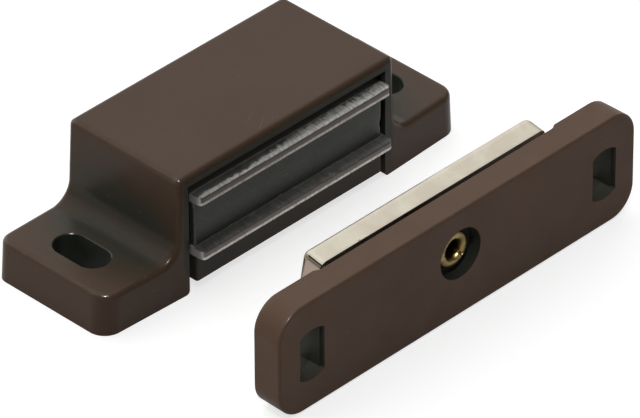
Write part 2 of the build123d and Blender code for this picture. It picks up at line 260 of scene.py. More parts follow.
def mouthShade(tree, place, look):
    # painted shade: a darker greenish film on the plastic about the magnet's mouth, fading away from it and
    # left off up-facing surfaces
    low, high = look["mouth"]
    parts = addNode(tree, "ShaderNodeSeparateXYZ", {"Vector": place}).outputs
    gaps = []
    for axis, narrower in ((0, 4.0), (2, 1.0)):
        off = maths(tree, "ABSOLUTE", maths(tree, "SUBTRACT", parts[axis], (low[axis] + high[axis]) / 2))
        off = maths(tree, "SUBTRACT", off, (high[axis] - low[axis]) / 2)
        gaps.append(maths(tree, "MULTIPLY", maths(tree, "MAXIMUM", off, 0.0), narrower))
    away = maths(tree, "SQRT", maths(tree, "ADD", maths(tree, "POWER", gaps[0], 2.0),
                                     maths(tree, "POWER", gaps[1], 2.0)))
    patch = maths(tree, "MULTIPLY_ADD", noise(tree, place, 500.0, 3.0, 0.6), 0.8 * mm, -0.4 * mm)
    near = ramp(tree, maths(tree, "ADD", away, patch), look["dustReach"], 0.5 * look["dustReach"])
    facing = addNode(tree, "ShaderNodeSeparateXYZ",
                     {"Vector": tree.nodes.new("ShaderNodeTexCoord").outputs["Normal"]}).outputs
    near = maths(tree, "MULTIPLY", near, ramp(tree, facing[2], 0.75, 0.3))
    near = maths(tree, "MULTIPLY", near, ramp(tree, parts[1], low[1] + 5.0 * mm, low[1] + 3.0 * mm))
    return maths(tree, "MULTIPLY", near, look["dust"])


def mouldedPlastic(name, look):
    made, tree, shader, place = newMaterial(name)
    skin = useGroup(tree, mouldSkin, {
        "Vector": place, "Base": look["base"], "Warm": look["warm"],
        "Drift Scale": look["driftScale"], "Grain Scale": look["grainScale"], "Grain": look["grain"],
        "Wave Scale": look["waveScale"], "Wave": look["wave"],
        "Rough Low": look["roughLow"], "Rough High": look["roughHigh"]})
    rub = useGroup(tree, edgeRub, {"Vector": place, "Radius": look["edgeRadius"],
                                   "Low": 0.1, "High": 0.42, "Break Scale": 1400.0, "Break": 0.7})
    lines = useGroup(tree, shortScratches, {"Vector": place, "Scale": look["scratchScale"],
                                            "Amount": look["scratches"], "Turn": look["scratchTurn"]})
    dust = useGroup(tree, dustSpecks, {"Vector": place, "Scale": look["speckScale"],
                                       "Size": 0.12, "Share": look["specks"]})
    # only the rounded upper edges: worn and polished, and lightened in colour partly as a painted highlight
    lean = addNode(tree, "ShaderNodeSeparateXYZ",
                   {"Vector": tree.nodes.new("ShaderNodeTexCoord").outputs["Normal"]}).outputs[2]
    rounded = maths(tree, "MULTIPLY", ramp(tree, lean, 0.15, 0.4), ramp(tree, lean, 0.995, 0.95))
    wearAndPaintedLight = maths(tree, "MULTIPLY", rub["Mask"], rounded)
    color = mixColors(tree, maths(tree, "MULTIPLY", wearAndPaintedLight, look["edgeLight"]),
                      skin["Color"], look["edgeWearAndHighlightColor"])
    # painted shade: darker, greenish colour where little open air reaches
    creviceShade = useGroup(tree, creviceShadeGroup, {"Vector": place, "Reach": look["creviceShadeReach"],
                                          "Deep": look["creviceShadeDeep"], "Clear": look["creviceShadeClear"]})
    color = mixColors(tree, maths(tree, "MULTIPLY", creviceShade["Mask"], look["creviceShade"]), color, look["creviceShadeColor"])
    coat = maths(tree, "MULTIPLY", wearAndPaintedLight,
                 maths(tree, "SUBTRACT", look["edgeCoat"], creviceShade["Mask"], clamp=True))
    if "mouth" in look:
        # painted shade about the magnet's mouth
        mouthShadeMask = mouthShade(tree, place, look)
        color = mixColors(tree, mouthShadeMask, color, look["dustColor"])
        coat = maths(tree, "MULTIPLY", coat, maths(tree, "SUBTRACT", 1.0, mouthShadeMask))
    marks = maths(tree, "MAXIMUM", lines["Mask"], dust["Mask"])
    color = mixColors(tree, maths(tree, "MULTIPLY", marks, look["markLight"]), color, look["markColor"])
    rough = maths(tree, "ADD", skin["Roughness"], maths(tree, "MULTIPLY", marks, 0.2))
    rough = maths(tree, "MULTIPLY_ADD", wearAndPaintedLight, -look["edgePolish"], rough, clamp=True)
    height = maths(tree, "ADD", skin["Height"], maths(tree, "MULTIPLY", marks, -0.4))
    feed(tree, shader, Base_Color=color, Roughness=rough, Normal=bump(tree, height, look["bump"], 0.00002),
         Coat_Weight=coat)
    shader.inputs["Coat Roughness"].default_value = look["coatRough"]
    shader.inputs["Specular IOR Level"].default_value = look["gloss"]
    shader.inputs["IOR"].default_value = 1.5
    return made


housingLook = {
    "base": (0.076, 0.0455, 0.0285, 1), "warm": (0.083, 0.0495, 0.0315, 1), "driftScale": 70.0,
    "grainScale": 9000.0, "grain": 0.35, "waveScale": 240.0, "wave": 0.8,
    "roughLow": 0.24, "roughHigh": 0.36, "edgeRadius": 1.1 * mm, "edgeLight": 0.2,
    "edgeWearAndHighlightColor": (0.13, 0.085, 0.062, 1), "scratchScale": 110.0, "scratches": 0.6, "scratchTurn": 0.4,
    "speckScale": 900.0, "specks": 0.05, "markLight": 0.28, "markColor": (0.32, 0.25, 0.2, 1),
    "bump": 0.35, "gloss": 0.1, "edgePolish": 0.1, "edgeCoat": 1.0, "coatRough": 0.16,
    # the next two lines set a painted shade in slots and inside corners
    "creviceShade": 1.0, "creviceShadeColor": (0.036, 0.041, 0.031, 1),
    "creviceShadeReach": 13 * mm, "creviceShadeDeep": 0.66, "creviceShadeClear": 0.99,
    # the next three values set the painted shade about the mouth
    "dust": 0.85, "dustReach": 3.0 * mm, "dustColor": (0.024, 0.029, 0.022, 1),
}
barLook = {
    "base": (0.107, 0.064, 0.041, 1), "warm": (0.121, 0.072, 0.0465, 1), "driftScale": 60.0,
    "grainScale": 5200.0, "grain": 0.9, "waveScale": 420.0, "wave": 0.9,
    "roughLow": 0.4, "roughHigh": 0.55, "edgeRadius": 1.1 * mm, "edgeLight": 0.25,
    "edgeWearAndHighlightColor": (0.14, 0.088, 0.06, 1), "scratchScale": 130.0, "scratches": 0.5, "scratchTurn": 1.3,
    "speckScale": 1000.0, "specks": 0.05, "markLight": 0.45, "markColor": (0.3, 0.23, 0.18, 1),
    "bump": 0.4, "gloss": 0.1, "edgePolish": 0.1, "edgeCoat": 0.3, "coatRough": 0.25,
    # the next two lines set a painted shade in slots and inside corners
    "creviceShade": 1.0, "creviceShadeColor": (0.036, 0.041, 0.031, 1),
    "creviceShadeReach": 9 * mm, "creviceShadeDeep": 0.45, "creviceShadeClear": 0.99,
}
retainerLook = dict(
    housingLook, base=(0.040, 0.034, 0.028, 1), warm=(0.052, 0.040, 0.031, 1),
    scratches=0.4, specks=0.02, roughLow=0.3, roughHigh=0.42)

housingLook["mouth"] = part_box("lower_pole_plate")[0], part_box("upper_pole_plate")[1]
housingPlastic = mouldedPlastic("housingPlastic", housingLook)
barPlastic = mouldedPlastic("barPlastic", barLook)
retainerPlastic = mouldedPlastic("retainerPlastic", retainerLook)
print("plastics made")


# stamped pole plates: a rolled-over top edge, a smooth sheared face and a ragged burr below

poleLook = {
    # the next line sets a painted fill light under the housing's cover
    "paintedFill": (0.25, 0.24, 0.215, 1), "paintedFillFrom": 1.2 * mm, "paintedFillTo": 1.8 * mm,
    "cornerRound": 0.6, "rollDepth": 0.2, "rollReach": 0.85, "rollUneven": 0.35, "burr": 0.07,
    "earStart": 3.8, "earEnd": 6.8, "earReach": 0.9,
    "dull": (0.07, 0.07, 0.063, 1), "dullDark": (0.035, 0.035, 0.032, 1),
    # the light strip colour on the next line is partly a painted reflection
    "sheared": (0.12, 0.103, 0.098, 1), "wearAndPaintedLight": (0.62, 0.615, 0.59, 1), "brightest": (0.54, 0.52, 0.48, 1),
    # the ends colour is painted light on the shaded end faces
    "ends": (0.36, 0.345, 0.33, 1),
    "strokeScale": 1700.0, "rubLeft": 0.5 * mm, "rubRight": 1.7 * mm, "rubEven": 0.45,
    "fineScale": 5200.0, "stainScale": 420.0,
}
lowerPoleLook = dict(poleLook, wearAndPaintedLight=(0.13, 0.128, 0.12, 1), rubLeft=2.0 * mm, rubRight=3.0 * mm)


def evenSteps(first, last, size):
    count = max(1, round((last - first) / size))
    return [first + (last - first) * step / count for step in range(count + 1)]


def stampedPlate(name, node, look, seed):
    low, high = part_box(node)
    midX = (low[0] + high[0]) / 2
    halfEar = (high[0] - low[0]) / 2 / mm
    half, depth, thick = halfEar - look["earReach"], (high[1] - low[1]) / mm, (high[2] - low[2]) / mm
    inner = evenSteps(-half, half, 0.16)
    edges = [0.04, 0.1, 0.18, 0.28, 0.42]
    inner = sorted(set(inner[1:-1] + [-half, half] + [half - e for e in edges] + [e - half for e in edges]))
    columns = [-halfEar] + inner + [halfEar]
    rows = [0.0] + edges + [0.6, 0.85, 1.2, 1.7, 2.4, 3.2, look["earStart"], 4.8, 5.8, look["earEnd"]]
    rows += evenSteps(8.5, depth - 0.3, 1.6) + [depth - 0.1, depth]
    levels = [0.0, 0.05, 0.13, 0.26, 0.42, 0.58, 0.74, 0.88, 1.0]     # share of the thickness
    lastCol, lastRow = len(columns) - 2, len(rows) - 2

    def solid(i, j):
        if not (0 <= i <= lastCol and 0 <= j <= lastRow):
            return False
        ears = look["earStart"] - 0.01 < rows[j] and rows[j + 1] < look["earEnd"] + 0.01
        return ears or 0 < i < lastCol

    def spot(i, j, share):
        x, y = columns[i], rows[j]
        # square corner to round corner in plan, at the two front corners
        reach = look["cornerRound"]
        side, ahead = abs(x) - (half - reach), reach - y
        if side > 0 and ahead > 0:
            grow = max(side, ahead) / math.hypot(side, ahead)
            x, y = math.copysign(half - reach + side * grow, x), reach - ahead * grow
        edge = max(0.0, min(y if y < 3 else 3, half - abs(x) if y < look["earStart"] else 3.0))
        wave = fractalNoise(x * 0.9, seed) * look["rollUneven"]
        fine = fractalNoise(x * 4.5, seed + 7.3)
        roll = look["rollDepth"] * (1 + wave) * max(0.0, 1 - edge / look["rollReach"]) ** 2
        z = share * (thick - roll)
        out = 0.0
        if j == 0:
            # smooth above, broken and slightly raked below, with a burr at the lower edge
            out = 0.035 * max(0.0, 1 - share / 0.45) * (1 + 0.8 * fine) * (share > 0.01)
            out += (share < 0.01) * look["burr"] * (0.4 + 0.6 * abs(fine))
            out -= 0.12 * max(0.0, (share - 0.86) / 0.14) ** 2
        return Vector((midX + x * mm, low[1] + (y - out) * mm, low[2] + z * mm))

    shape = bmesh.new()
    made = {}

    def corner(i, j, level):
        key = (i, j, level)
        if key not in made:
            made[key] = shape.verts.new(spot(i, j, levels[level]))
        return made[key]

    top = len(levels) - 1
    for i in range(lastCol + 1):
        for j in range(lastRow + 1):
            if not solid(i, j):
                continue
            shape.faces.new([corner(i, j, top), corner(i + 1, j, top),
                             corner(i + 1, j + 1, top), corner(i, j + 1, top)])
            shape.faces.new([corner(i, j, 0), corner(i, j + 1, 0),
                             corner(i + 1, j + 1, 0), corner(i + 1, j, 0)])
            walls = (((i, j - 1), (i, j), (i + 1, j)), ((i + 1, j), (i + 1, j), (i + 1, j + 1)),
                     ((i, j + 1), (i + 1, j + 1), (i, j + 1)), ((i - 1, j), (i, j + 1), (i, j)))
            for beside, (ai, aj), (bi, bj) in walls:
                if solid(*beside):
                    continue
                for k in range(top):
                    shape.faces.new([corner(ai, aj, k), corner(bi, bj, k),
                                     corner(bi, bj, k + 1), corner(ai, aj, k + 1)])
    bmesh.ops.recalc_face_normals(shape, faces=shape.faces)
    mesh = bpy.data.meshes.new(name)
    shape.to_mesh(mesh)
    shape.free()
    mesh.shade_smooth()
    mesh.set_sharp_from_angle(angle=math.radians(50))
    piece = bpy.data.objects.new(name, mesh)
    scene.collection.objects.link(piece)
    mesh.materials.append(poleSteel(name + "Steel", look, low, high))
    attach(piece, "magnet_pack")
    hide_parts(node)
    print(name, "made with", len(mesh.polygons), "faces")


def fractalNoise(x, seed):
    return noiseTools.fractal(Vector((x, seed, 0.5)), 0.9, 2.2, 4) / 0.9


def poleSteel(name, look, low, high):
    made, tree, shader, place = newMaterial(name)
    parts = addNode(tree, "ShaderNodeSeparateXYZ", {"Vector": place}).outputs
    behind = maths(tree, "SUBTRACT", parts[1], low[1])      # metres behind the front edge
    height = maths(tree, "DIVIDE", maths(tree, "SUBTRACT", parts[2], low[2]), high[2] - low[2])
    facing = addNode(tree, "ShaderNodeSeparateXYZ",
                     {"Vector": tree.nodes.new("ShaderNodeTexCoord").outputs["Normal"]}).outputs
    upward = ramp(tree, facing[2], 0.35, 0.75)
    forward = ramp(tree, maths(tree, "MULTIPLY", facing[1], -1.0), 0.45, 0.8)
    sideways = ramp(tree, maths(tree, "ABSOLUTE", facing[0]), 0.5, 0.85)
    strokes = noise(tree, stretched(tree, place, (look["strokeScale"], look["strokeScale"] * 0.22, 1.0)),
                    1.0, 5.0, 0.7, 0.6)
    slow = noise(tree, stretched(tree, place, (170.0, 60.0, 1.0)), 1.0, 3.0, 0.6)
    # the worn and painted-light strip widens and grows stronger towards the +X end
    reach = ramp(tree, parts[0], low[0] + 0.2 * (high[0] - low[0]), high[0],
                 look["rubLeft"], look["rubRight"], smooth=False)
    ragged = ramp(tree, maths(tree, "MULTIPLY_ADD", strokes, 0.5, maths(tree, "MULTIPLY", slow, 0.5)),
                  0.36, 0.6, look["rubEven"], 1.6, smooth=False)
    away = maths(tree, "DIVIDE", behind, maths(tree, "MULTIPLY", reach, ragged))
    strongerTowardsRight = ramp(tree, parts[0], low[0], high[0], 0.55, 1.0, smooth=False)
    # painted light: the light strip along the top front is partly rubbed steel and partly a painted
    # reflection
    wearAndPaintedLight = maths(tree, "MULTIPLY", maths(tree, "MULTIPLY", upward, strongerTowardsRight), ramp(tree, away, 1.1, 0.6))
    grain = (look["fineScale"], look["fineScale"] * 0.06, look["fineScale"])
    fine = noise(tree, stretched(tree, place, grain), 1.0, 2.0, 0.6)
    stain = noise(tree, place, look["stainScale"], 4.0, 0.6, 0.6)
    mottle = ramp(tree, noise(tree, stretched(tree, place, (3600.0, 700.0, 2600.0)), 1.0, 3.0, 0.7),
                  0.3, 0.6, 0.4, 1.0)
    # painted reflection: a bright line along the lower front edge
    paintedLowEdgeReflection = maths(tree, "MULTIPLY", ramp(tree, height, 0.36, 0.14), forward)
    color = mixColors(tree, ramp(tree, stain, 0.35, 0.65), look["dull"], look["dullDark"])
    color = mixColors(tree, forward, color, look["sheared"])
    # painted light: the end faces, turned along X, take a lighter colour that lifts their shade
    color = mixColors(tree, sideways, color, look["ends"])
    # the strip's light colour: rubbed steel and painted reflection
    color = mixColors(tree, maths(tree, "MULTIPLY", wearAndPaintedLight, mottle), color, look["wearAndPaintedLight"])
    # painted reflection along the lower front edge
    color = mixColors(tree, maths(tree, "MULTIPLY", paintedLowEdgeReflection, mottle), color, look["brightest"])
    # painted fill light: a lighter grey where the housing covers the plate and shade falls
    paintedFill = maths(tree, "MULTIPLY", upward, ramp(tree, behind, look["paintedFillFrom"], look["paintedFillTo"]))
    color = mixColors(tree, paintedFill, color, look["paintedFill"])
    lines = useGroup(tree, shortScratches, {"Vector": place, "Scale": 260.0, "Amount": 0.8, "Turn": 0.7})
    color = mixColors(tree, maths(tree, "MULTIPLY", lines["Mask"], 0.6), color, look["brightest"])
    rough = ramp(tree, fine, 0.3, 0.7, 0.38, 0.58)
    matt = maths(tree, "MAXIMUM", maths(tree, "MULTIPLY", wearAndPaintedLight, 0.6),
                 maths(tree, "MULTIPLY", sideways, 0.7))
    inside = maths(tree, "MULTIPLY", maths(tree, "SUBTRACT", 1.0, forward),
                   maths(tree, "SUBTRACT", 1.0, wearAndPaintedLight))
    metal = maths(tree, "SUBTRACT", 1.0,
                  maths(tree, "MAXIMUM", matt, maths(tree, "MULTIPLY", inside, 0.9)), clamp=True)
    relief = maths(tree, "MULTIPLY_ADD", fine, 0.6, maths(tree, "MULTIPLY", strokes, 0.8))
    feed(tree, shader, Base_Color=color, Roughness=rough, Metallic=metal,
         Normal=bump(tree, relief, 0.5, 0.00003))
    return made


stampedPlate("lowerPole", "lower_pole_plate", lowerPoleLook, 2.0)
stampedPlate("upperPole", "upper_pole_plate", poleLook, 5.0)
print("pole plates finished")


# plated strike

def platedSteel(name, look):
    made, tree, shader, place = newMaterial(name)
    cloud = noise(tree, place, look["cloudScale"], 4.0, 0.6, 0.8)
    fine = noise(tree, place, look["fineScale"], 2.0, 0.6)
    color = mixColors(tree, ramp(tree, cloud, 0.35, 0.68), look["plate"], look["warmPlate"])
    pits = useGroup(tree, dustSpecks, {"Vector": place, "Scale": 300.0, "Size": 0.1, "Share": 0.16})
    lines = useGroup(tree, shortScratches, {"Vector": place, "Scale": 190.0, "Amount": 0.6, "Turn": 0.2})
    rub = useGroup(tree, edgeRub, {"Vector": place, "Radius": 0.0004, "Low": 0.1, "High": 0.5,
                                   "Break Scale": 1500.0, "Break": 0.8})
    ends = addNode(tree, "ShaderNodeSeparateXYZ",
                   {"Vector": tree.nodes.new("ShaderNodeTexCoord").outputs["Normal"]}).outputs[0]
    # faces turned along X take a darker, warmer tone
    color = mixColors(tree, ramp(tree, maths(tree, "ABSOLUTE", ends), 0.5, 0.9), color, look["xFacingTone"])
    color = mixColors(tree, maths(tree, "MULTIPLY", rub["Mask"], 0.5), color, look["worn"])
    color = mixColors(tree, maths(tree, "MULTIPLY", pits["Mask"], 0.75), color, look["pit"])
    color = mixColors(tree, maths(tree, "MULTIPLY", lines["Mask"], 0.25), color, look["pit"])
    rough = ramp(tree, cloud, 0.3, 0.7, look["roughLow"], look["roughHigh"], smooth=False)
    height = maths(tree, "MULTIPLY_ADD", fine, 0.3, maths(tree, "MULTIPLY", cloud, look["wave"]))
    feed(tree, shader, Base_Color=color, Roughness=rough, Normal=bump(tree, height, look["bump"], 0.00003))
    shader.inputs["Metallic"].default_value = 1.0
    return made


strikeLook = {
    "plate": (0.50, 0.47, 0.385, 1), "warmPlate": (0.46, 0.41, 0.335, 1), "worn": (0.34, 0.31, 0.25, 1),
    "xFacingTone": (0.36, 0.285, 0.225, 1),
    "pit": (0.16, 0.14, 0.11, 1), "cloudScale": 210.0, "fineScale": 4200.0,
    "roughLow": 0.24, "roughHigh": 0.34, "wave": 0.35, "bump": 0.15,
}
strikeSteel = platedSteel("strikeSteel", strikeLook)


# brass of the rolled rivet

def rivetBrass(name, look):
    made, tree, shader, place = newMaterial(name)
    cloud = noise(tree, place, look["cloudScale"], 4.0, 0.65, 0.5)
    fine = noise(tree, place, look["fineScale"], 2.0, 0.6)
    rub = useGroup(tree, edgeRub, {"Vector": place, "Radius": 0.0004, "Low": 0.1, "High": 0.45,
                                   "Break Scale": 2400.0, "Break": 1.0})
    color = mixColors(tree, ramp(tree, cloud, 0.35, 0.65), look["brass"], look["tarnish"])
    color = mixColors(tree, maths(tree, "MULTIPLY", rub["Mask"], 0.6), color, look["bright"])
    # painted shade: the bore and the hollows of the rivet are darkened
    creviceShade = useGroup(tree, creviceShadeGroup, {"Vector": place, "Reach": 2.5 * mm, "Deep": 0.15, "Clear": 0.6})
    color = mixColors(tree, maths(tree, "MULTIPLY", creviceShade["Mask"], 0.95), color, look["bore"])
    rough = ramp(tree, cloud, 0.3, 0.7, look["roughLow"], look["roughHigh"], smooth=False)
    height = maths(tree, "MULTIPLY_ADD", fine, 0.6, cloud)
    feed(tree, shader, Base_Color=color, Roughness=rough, Normal=bump(tree, height, 0.5, 0.00004))
    shader.inputs["Metallic"].default_value = 1.0
    return made


brassLook = {
    "brass": (0.27, 0.20, 0.08, 1), "tarnish": (0.13, 0.10, 0.045, 1), "bright": (0.48, 0.39, 0.19, 1),
    # the next colour is a painted shade in the rivet's bore and hollows
    "bore": (0.035, 0.03, 0.018, 1),
    "cloudScale": 900.0, "fineScale": 6000.0, "roughLow": 0.32, "roughHigh": 0.52,
}
brass = rivetBrass("rolledBrass", brassLook)


# ferrite of the magnet

def ferriteCeramic(name, look):
    made, tree, shader, place = newMaterial(name)
    cloud = noise(tree, place, look["cloudScale"], 5.0, 0.6, 0.4)
    grain = noise(tree, place, look["grainScale"], 3.0, 0.7)
    rub = useGroup(tree, edgeRub, {"Vector": place, "Radius": 0.0004, "Low": 0.1, "High": 0.4,
                                   "Break Scale": 1800.0, "Break": 1.4})
    lines = useGroup(tree, shortScratches, {"Vector": place, "Scale": 170.0, "Amount": 0.8, "Turn": 1.1})
    color = mixColors(tree, ramp(tree, cloud, 0.35, 0.65), look["dark"], look["light"])
    color = mixColors(tree, maths(tree, "MULTIPLY", rub["Mask"], look["edgeLight"]), color, look["chip"])
    color = mixColors(tree, maths(tree, "MULTIPLY", lines["Mask"], 0.5), color, look["chip"])
    rough = ramp(tree, grain, 0.3, 0.7, look["roughLow"], look["roughHigh"], smooth=False)
    height = maths(tree, "MULTIPLY_ADD", grain, 0.8, cloud)
    feed(tree, shader, Base_Color=color, Roughness=rough, Normal=bump(tree, height, 0.5, 0.00004))
    shader.inputs["Specular IOR Level"].default_value = 0.4
    return made


ferriteLook = {
    "dark": (0.023, 0.0255, 0.020, 1), "light": (0.031, 0.034, 0.028, 1), "chip": (0.15, 0.15, 0.14, 1),
    "edgeLight": 0.7, "cloudScale": 160.0, "grainScale": 5200.0, "roughLow": 0.4, "roughHigh": 0.6,
}
ferrite = ferriteCeramic("ferriteCeramic", ferriteLook)

for name, made in (("housing", housingPlastic), ("magnet_retainer", retainerPlastic),
                   ("counter_bar", barPlastic), ("strike_plate", strikeSteel)):
    nodes[name].data.materials[0] = made
print("materials placed")


# geometry node trees, and the plain meshes grown from them

def newGrowth(name, inputs):
    tree = bpy.data.node_groups.new(name, "GeometryNodeTree")
    kinds = {"geometry": "NodeSocketGeometry", "float": "NodeSocketFloat", "int": "NodeSocketInt",
             "vector": "NodeSocketVector", "material": "NodeSocketMaterial"}
    for label, kind in inputs:
        tree.interface.new_socket(label, in_out="INPUT", socket_type=kinds[kind])
    tree.interface.new_socket("Geometry", in_out="OUTPUT", socket_type="NodeSocketGeometry")
    return tree, tree.nodes.new("NodeGroupInput").outputs


def endGrowth(tree, geometry, material):
    real = addNode(tree, "GeometryNodeRealizeInstances", {"Geometry": geometry})
    painted = addNode(tree, "GeometryNodeSetMaterial", {"Geometry": real.outputs[0], "Material": material})
    tree.links.new(painted.outputs[0], tree.nodes.new("NodeGroupOutput").inputs["Geometry"])


def vectorMaths(tree, operation, first, second=(0, 0, 0), scale=None):
    made = addNode(tree, "ShaderNodeVectorMath", {0: first, 1: second}, operation=operation)
    if scale is not None:
        if isinstance(scale, bpy.types.NodeSocket):
            tree.links.new(scale, made.inputs["Scale"])
        else:
            made.inputs["Scale"].default_value = scale
    return made.outputs["Value" if operation in ("LENGTH", "DISTANCE", "DOT_PRODUCT") else "Vector"]


def growPiece(name, tree, values, body, node, base=None, sharp=40):
    piece = bpy.data.objects.new(name, base or bpy.data.meshes.new(name))
    scene.collection.objects.link(piece)
    grower = piece.modifiers.new("grow", "NODES")
    grower.node_group = tree
    for item in tree.interface.items_tree:
        if item.in_out == "INPUT" and item.name in values:
            grower[item.identifier] = values[item.name]
    seen = piece.evaluated_get(bpy.context.evaluated_depsgraph_get())
    mesh = bpy.data.meshes.new_from_object(seen)
    piece.modifiers.clear()
    piece.data = mesh
    mesh.name = name
    mesh.shade_smooth()
    mesh.set_sharp_from_angle(angle=math.radians(sharp))
    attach(piece, body)
    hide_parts(node)
    print(name, "grown with", len(mesh.polygons), "faces")
    return piece


# ferrite block: rounded edges, chipped where the pressed ceramic has crumbled

magnetLook = {"cell": 0.2 * mm, "edge": 0.16 * mm, "chip": 0.4 * mm, "chipScale": 560.0, "seed": 4.0}


def buildFerriteTree():
    tree, given = newGrowth("pressedFerrite", [
        ("Size", "vector"), ("Middle", "vector"), ("Cells X", "int"), ("Cells Y", "int"), ("Cells Z", "int"),
        ("Edge", "float"), ("Chip", "float"), ("Chip Scale", "float"),
        ("Seed", "float"), ("Material", "material")])
    block = addNode(tree, "GeometryNodeMeshCube",
                    {"Size": given["Size"], "Vertices X": given["Cells X"],
                     "Vertices Y": given["Cells Y"], "Vertices Z": given["Cells Z"]})
    here = tree.nodes.new("GeometryNodeInputPosition").outputs[0]
    half = vectorMaths(tree, "SCALE", given["Size"], scale=0.5)
    # the radius grows in patches, so the rounding turns into chips there
    patch = addNode(tree, "ShaderNodeTexNoise",
                    {"Vector": here, "W": given["Seed"], "Scale": given["Chip Scale"], "Detail": 3.0,
                     "Roughness": 0.65}, noise_dimensions="4D").outputs["Fac"]
    deep = addNode(tree, "ShaderNodeMapRange", {"Value": patch, "From Min": 0.5, "From Max": 0.64,
                                                "To Min": 0.0, "To Max": 1.0}).outputs["Result"]
    radius = maths(tree, "MULTIPLY_ADD", deep, given["Chip"], given["Edge"])
    round3 = addNode(tree, "ShaderNodeCombineXYZ", {"X": radius, "Y": radius, "Z": radius}).outputs[0]
    reach = vectorMaths(tree, "SUBTRACT", half, round3)
    core = vectorMaths(tree, "MINIMUM", here, reach)
    core = vectorMaths(tree, "MAXIMUM", core, vectorMaths(tree, "SCALE", reach, scale=-1.0))
    out = vectorMaths(tree, "SUBTRACT", here, core)
    out = vectorMaths(tree, "SCALE", vectorMaths(tree, "NORMALIZE", out), scale=radius)
    place = vectorMaths(tree, "ADD", vectorMaths(tree, "ADD", core, out), given["Middle"])
    moved = addNode(tree, "GeometryNodeSetPosition", {"Geometry": block.outputs["Mesh"], "Position": place})
    endGrowth(tree, moved.outputs[0], given["Material"])
    return tree


magnetLow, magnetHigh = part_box("magnet_block")
magnetSize = magnetHigh - magnetLow
growPiece("ferriteMagnet", buildFerriteTree(), {
    "Size": magnetSize, "Middle": (magnetLow + magnetHigh) / 2,
    "Cells X": round(magnetSize[0] / magnetLook["cell"]),
    "Cells Y": round(magnetSize[1] / magnetLook["cell"]),
    "Cells Z": round(magnetSize[2] / magnetLook["cell"]),
    "Edge": magnetLook["edge"], "Chip": magnetLook["chip"], "Chip Scale": magnetLook["chipScale"],
    "Seed": magnetLook["seed"], "Material": ferrite,
}, "magnet_pack", "magnet_block", sharp=60)


# rolled rivet: a half outline turned about its axis, its rolled lip uneven and split once

rivetLook = {
    "turns": 120, "lipRadius": 1.34, "boreRadius": 1.15, "boreDepth": 4.6, "shankRadius": 1.5,
    "rimHeight": 0.75, "headRadius": 2.2, "headHeight": 0.7, "uneven": 0.1, "unevenScale": 1.5,
    "splitAngle": -0.75, "splitWidth": 0.16, "splitDepth": 0.2, "seed": 3.0,
}


def rivetOutline(look, rimRadius, length):
    # depth behind the crest, radius, and how far the point belongs to the rolled lip
    lip, bore = look["lipRadius"], look["boreRadius"]
    head = length - look["headHeight"]
    return [
        (look["boreDepth"], 0.0, 0), (look["boreDepth"], bore, 0), (2.6, bore, 0), (1.5, bore, 0),
        (0.85, bore + 0.02, 0.2), (0.5, bore + 0.06, 0.6), (0.26, lip - 0.03, 1), (0.12, lip + 0.05, 1),
        (0.04, lip + 0.18, 0.9), (0.0, lip + 0.38, 0.7), (0.02, lip + 0.6, 0.5),
        (0.09, rimRadius - 0.26, 0.4),
        (0.2, rimRadius - 0.1, 0.4), (0.36, rimRadius - 0.02, 0.4), (0.52, rimRadius, 0.4),
        (0.66, rimRadius - 0.06, 0.3), (look["rimHeight"], rimRadius - 0.2, 0.2),
        (look["rimHeight"], look["shankRadius"], 0), (head, look["shankRadius"], 0),
        (head, look["headRadius"] - 0.1, 0), (head + 0.08, look["headRadius"], 0),
        (head + 0.3, look["headRadius"] - 0.02, 0), (head + 0.5, look["headRadius"] - 0.2, 0),
        (head + 0.64, look["headRadius"] - 0.6, 0), (length, look["headRadius"] - 1.3, 0), (length, 0.0, 0),
    ]


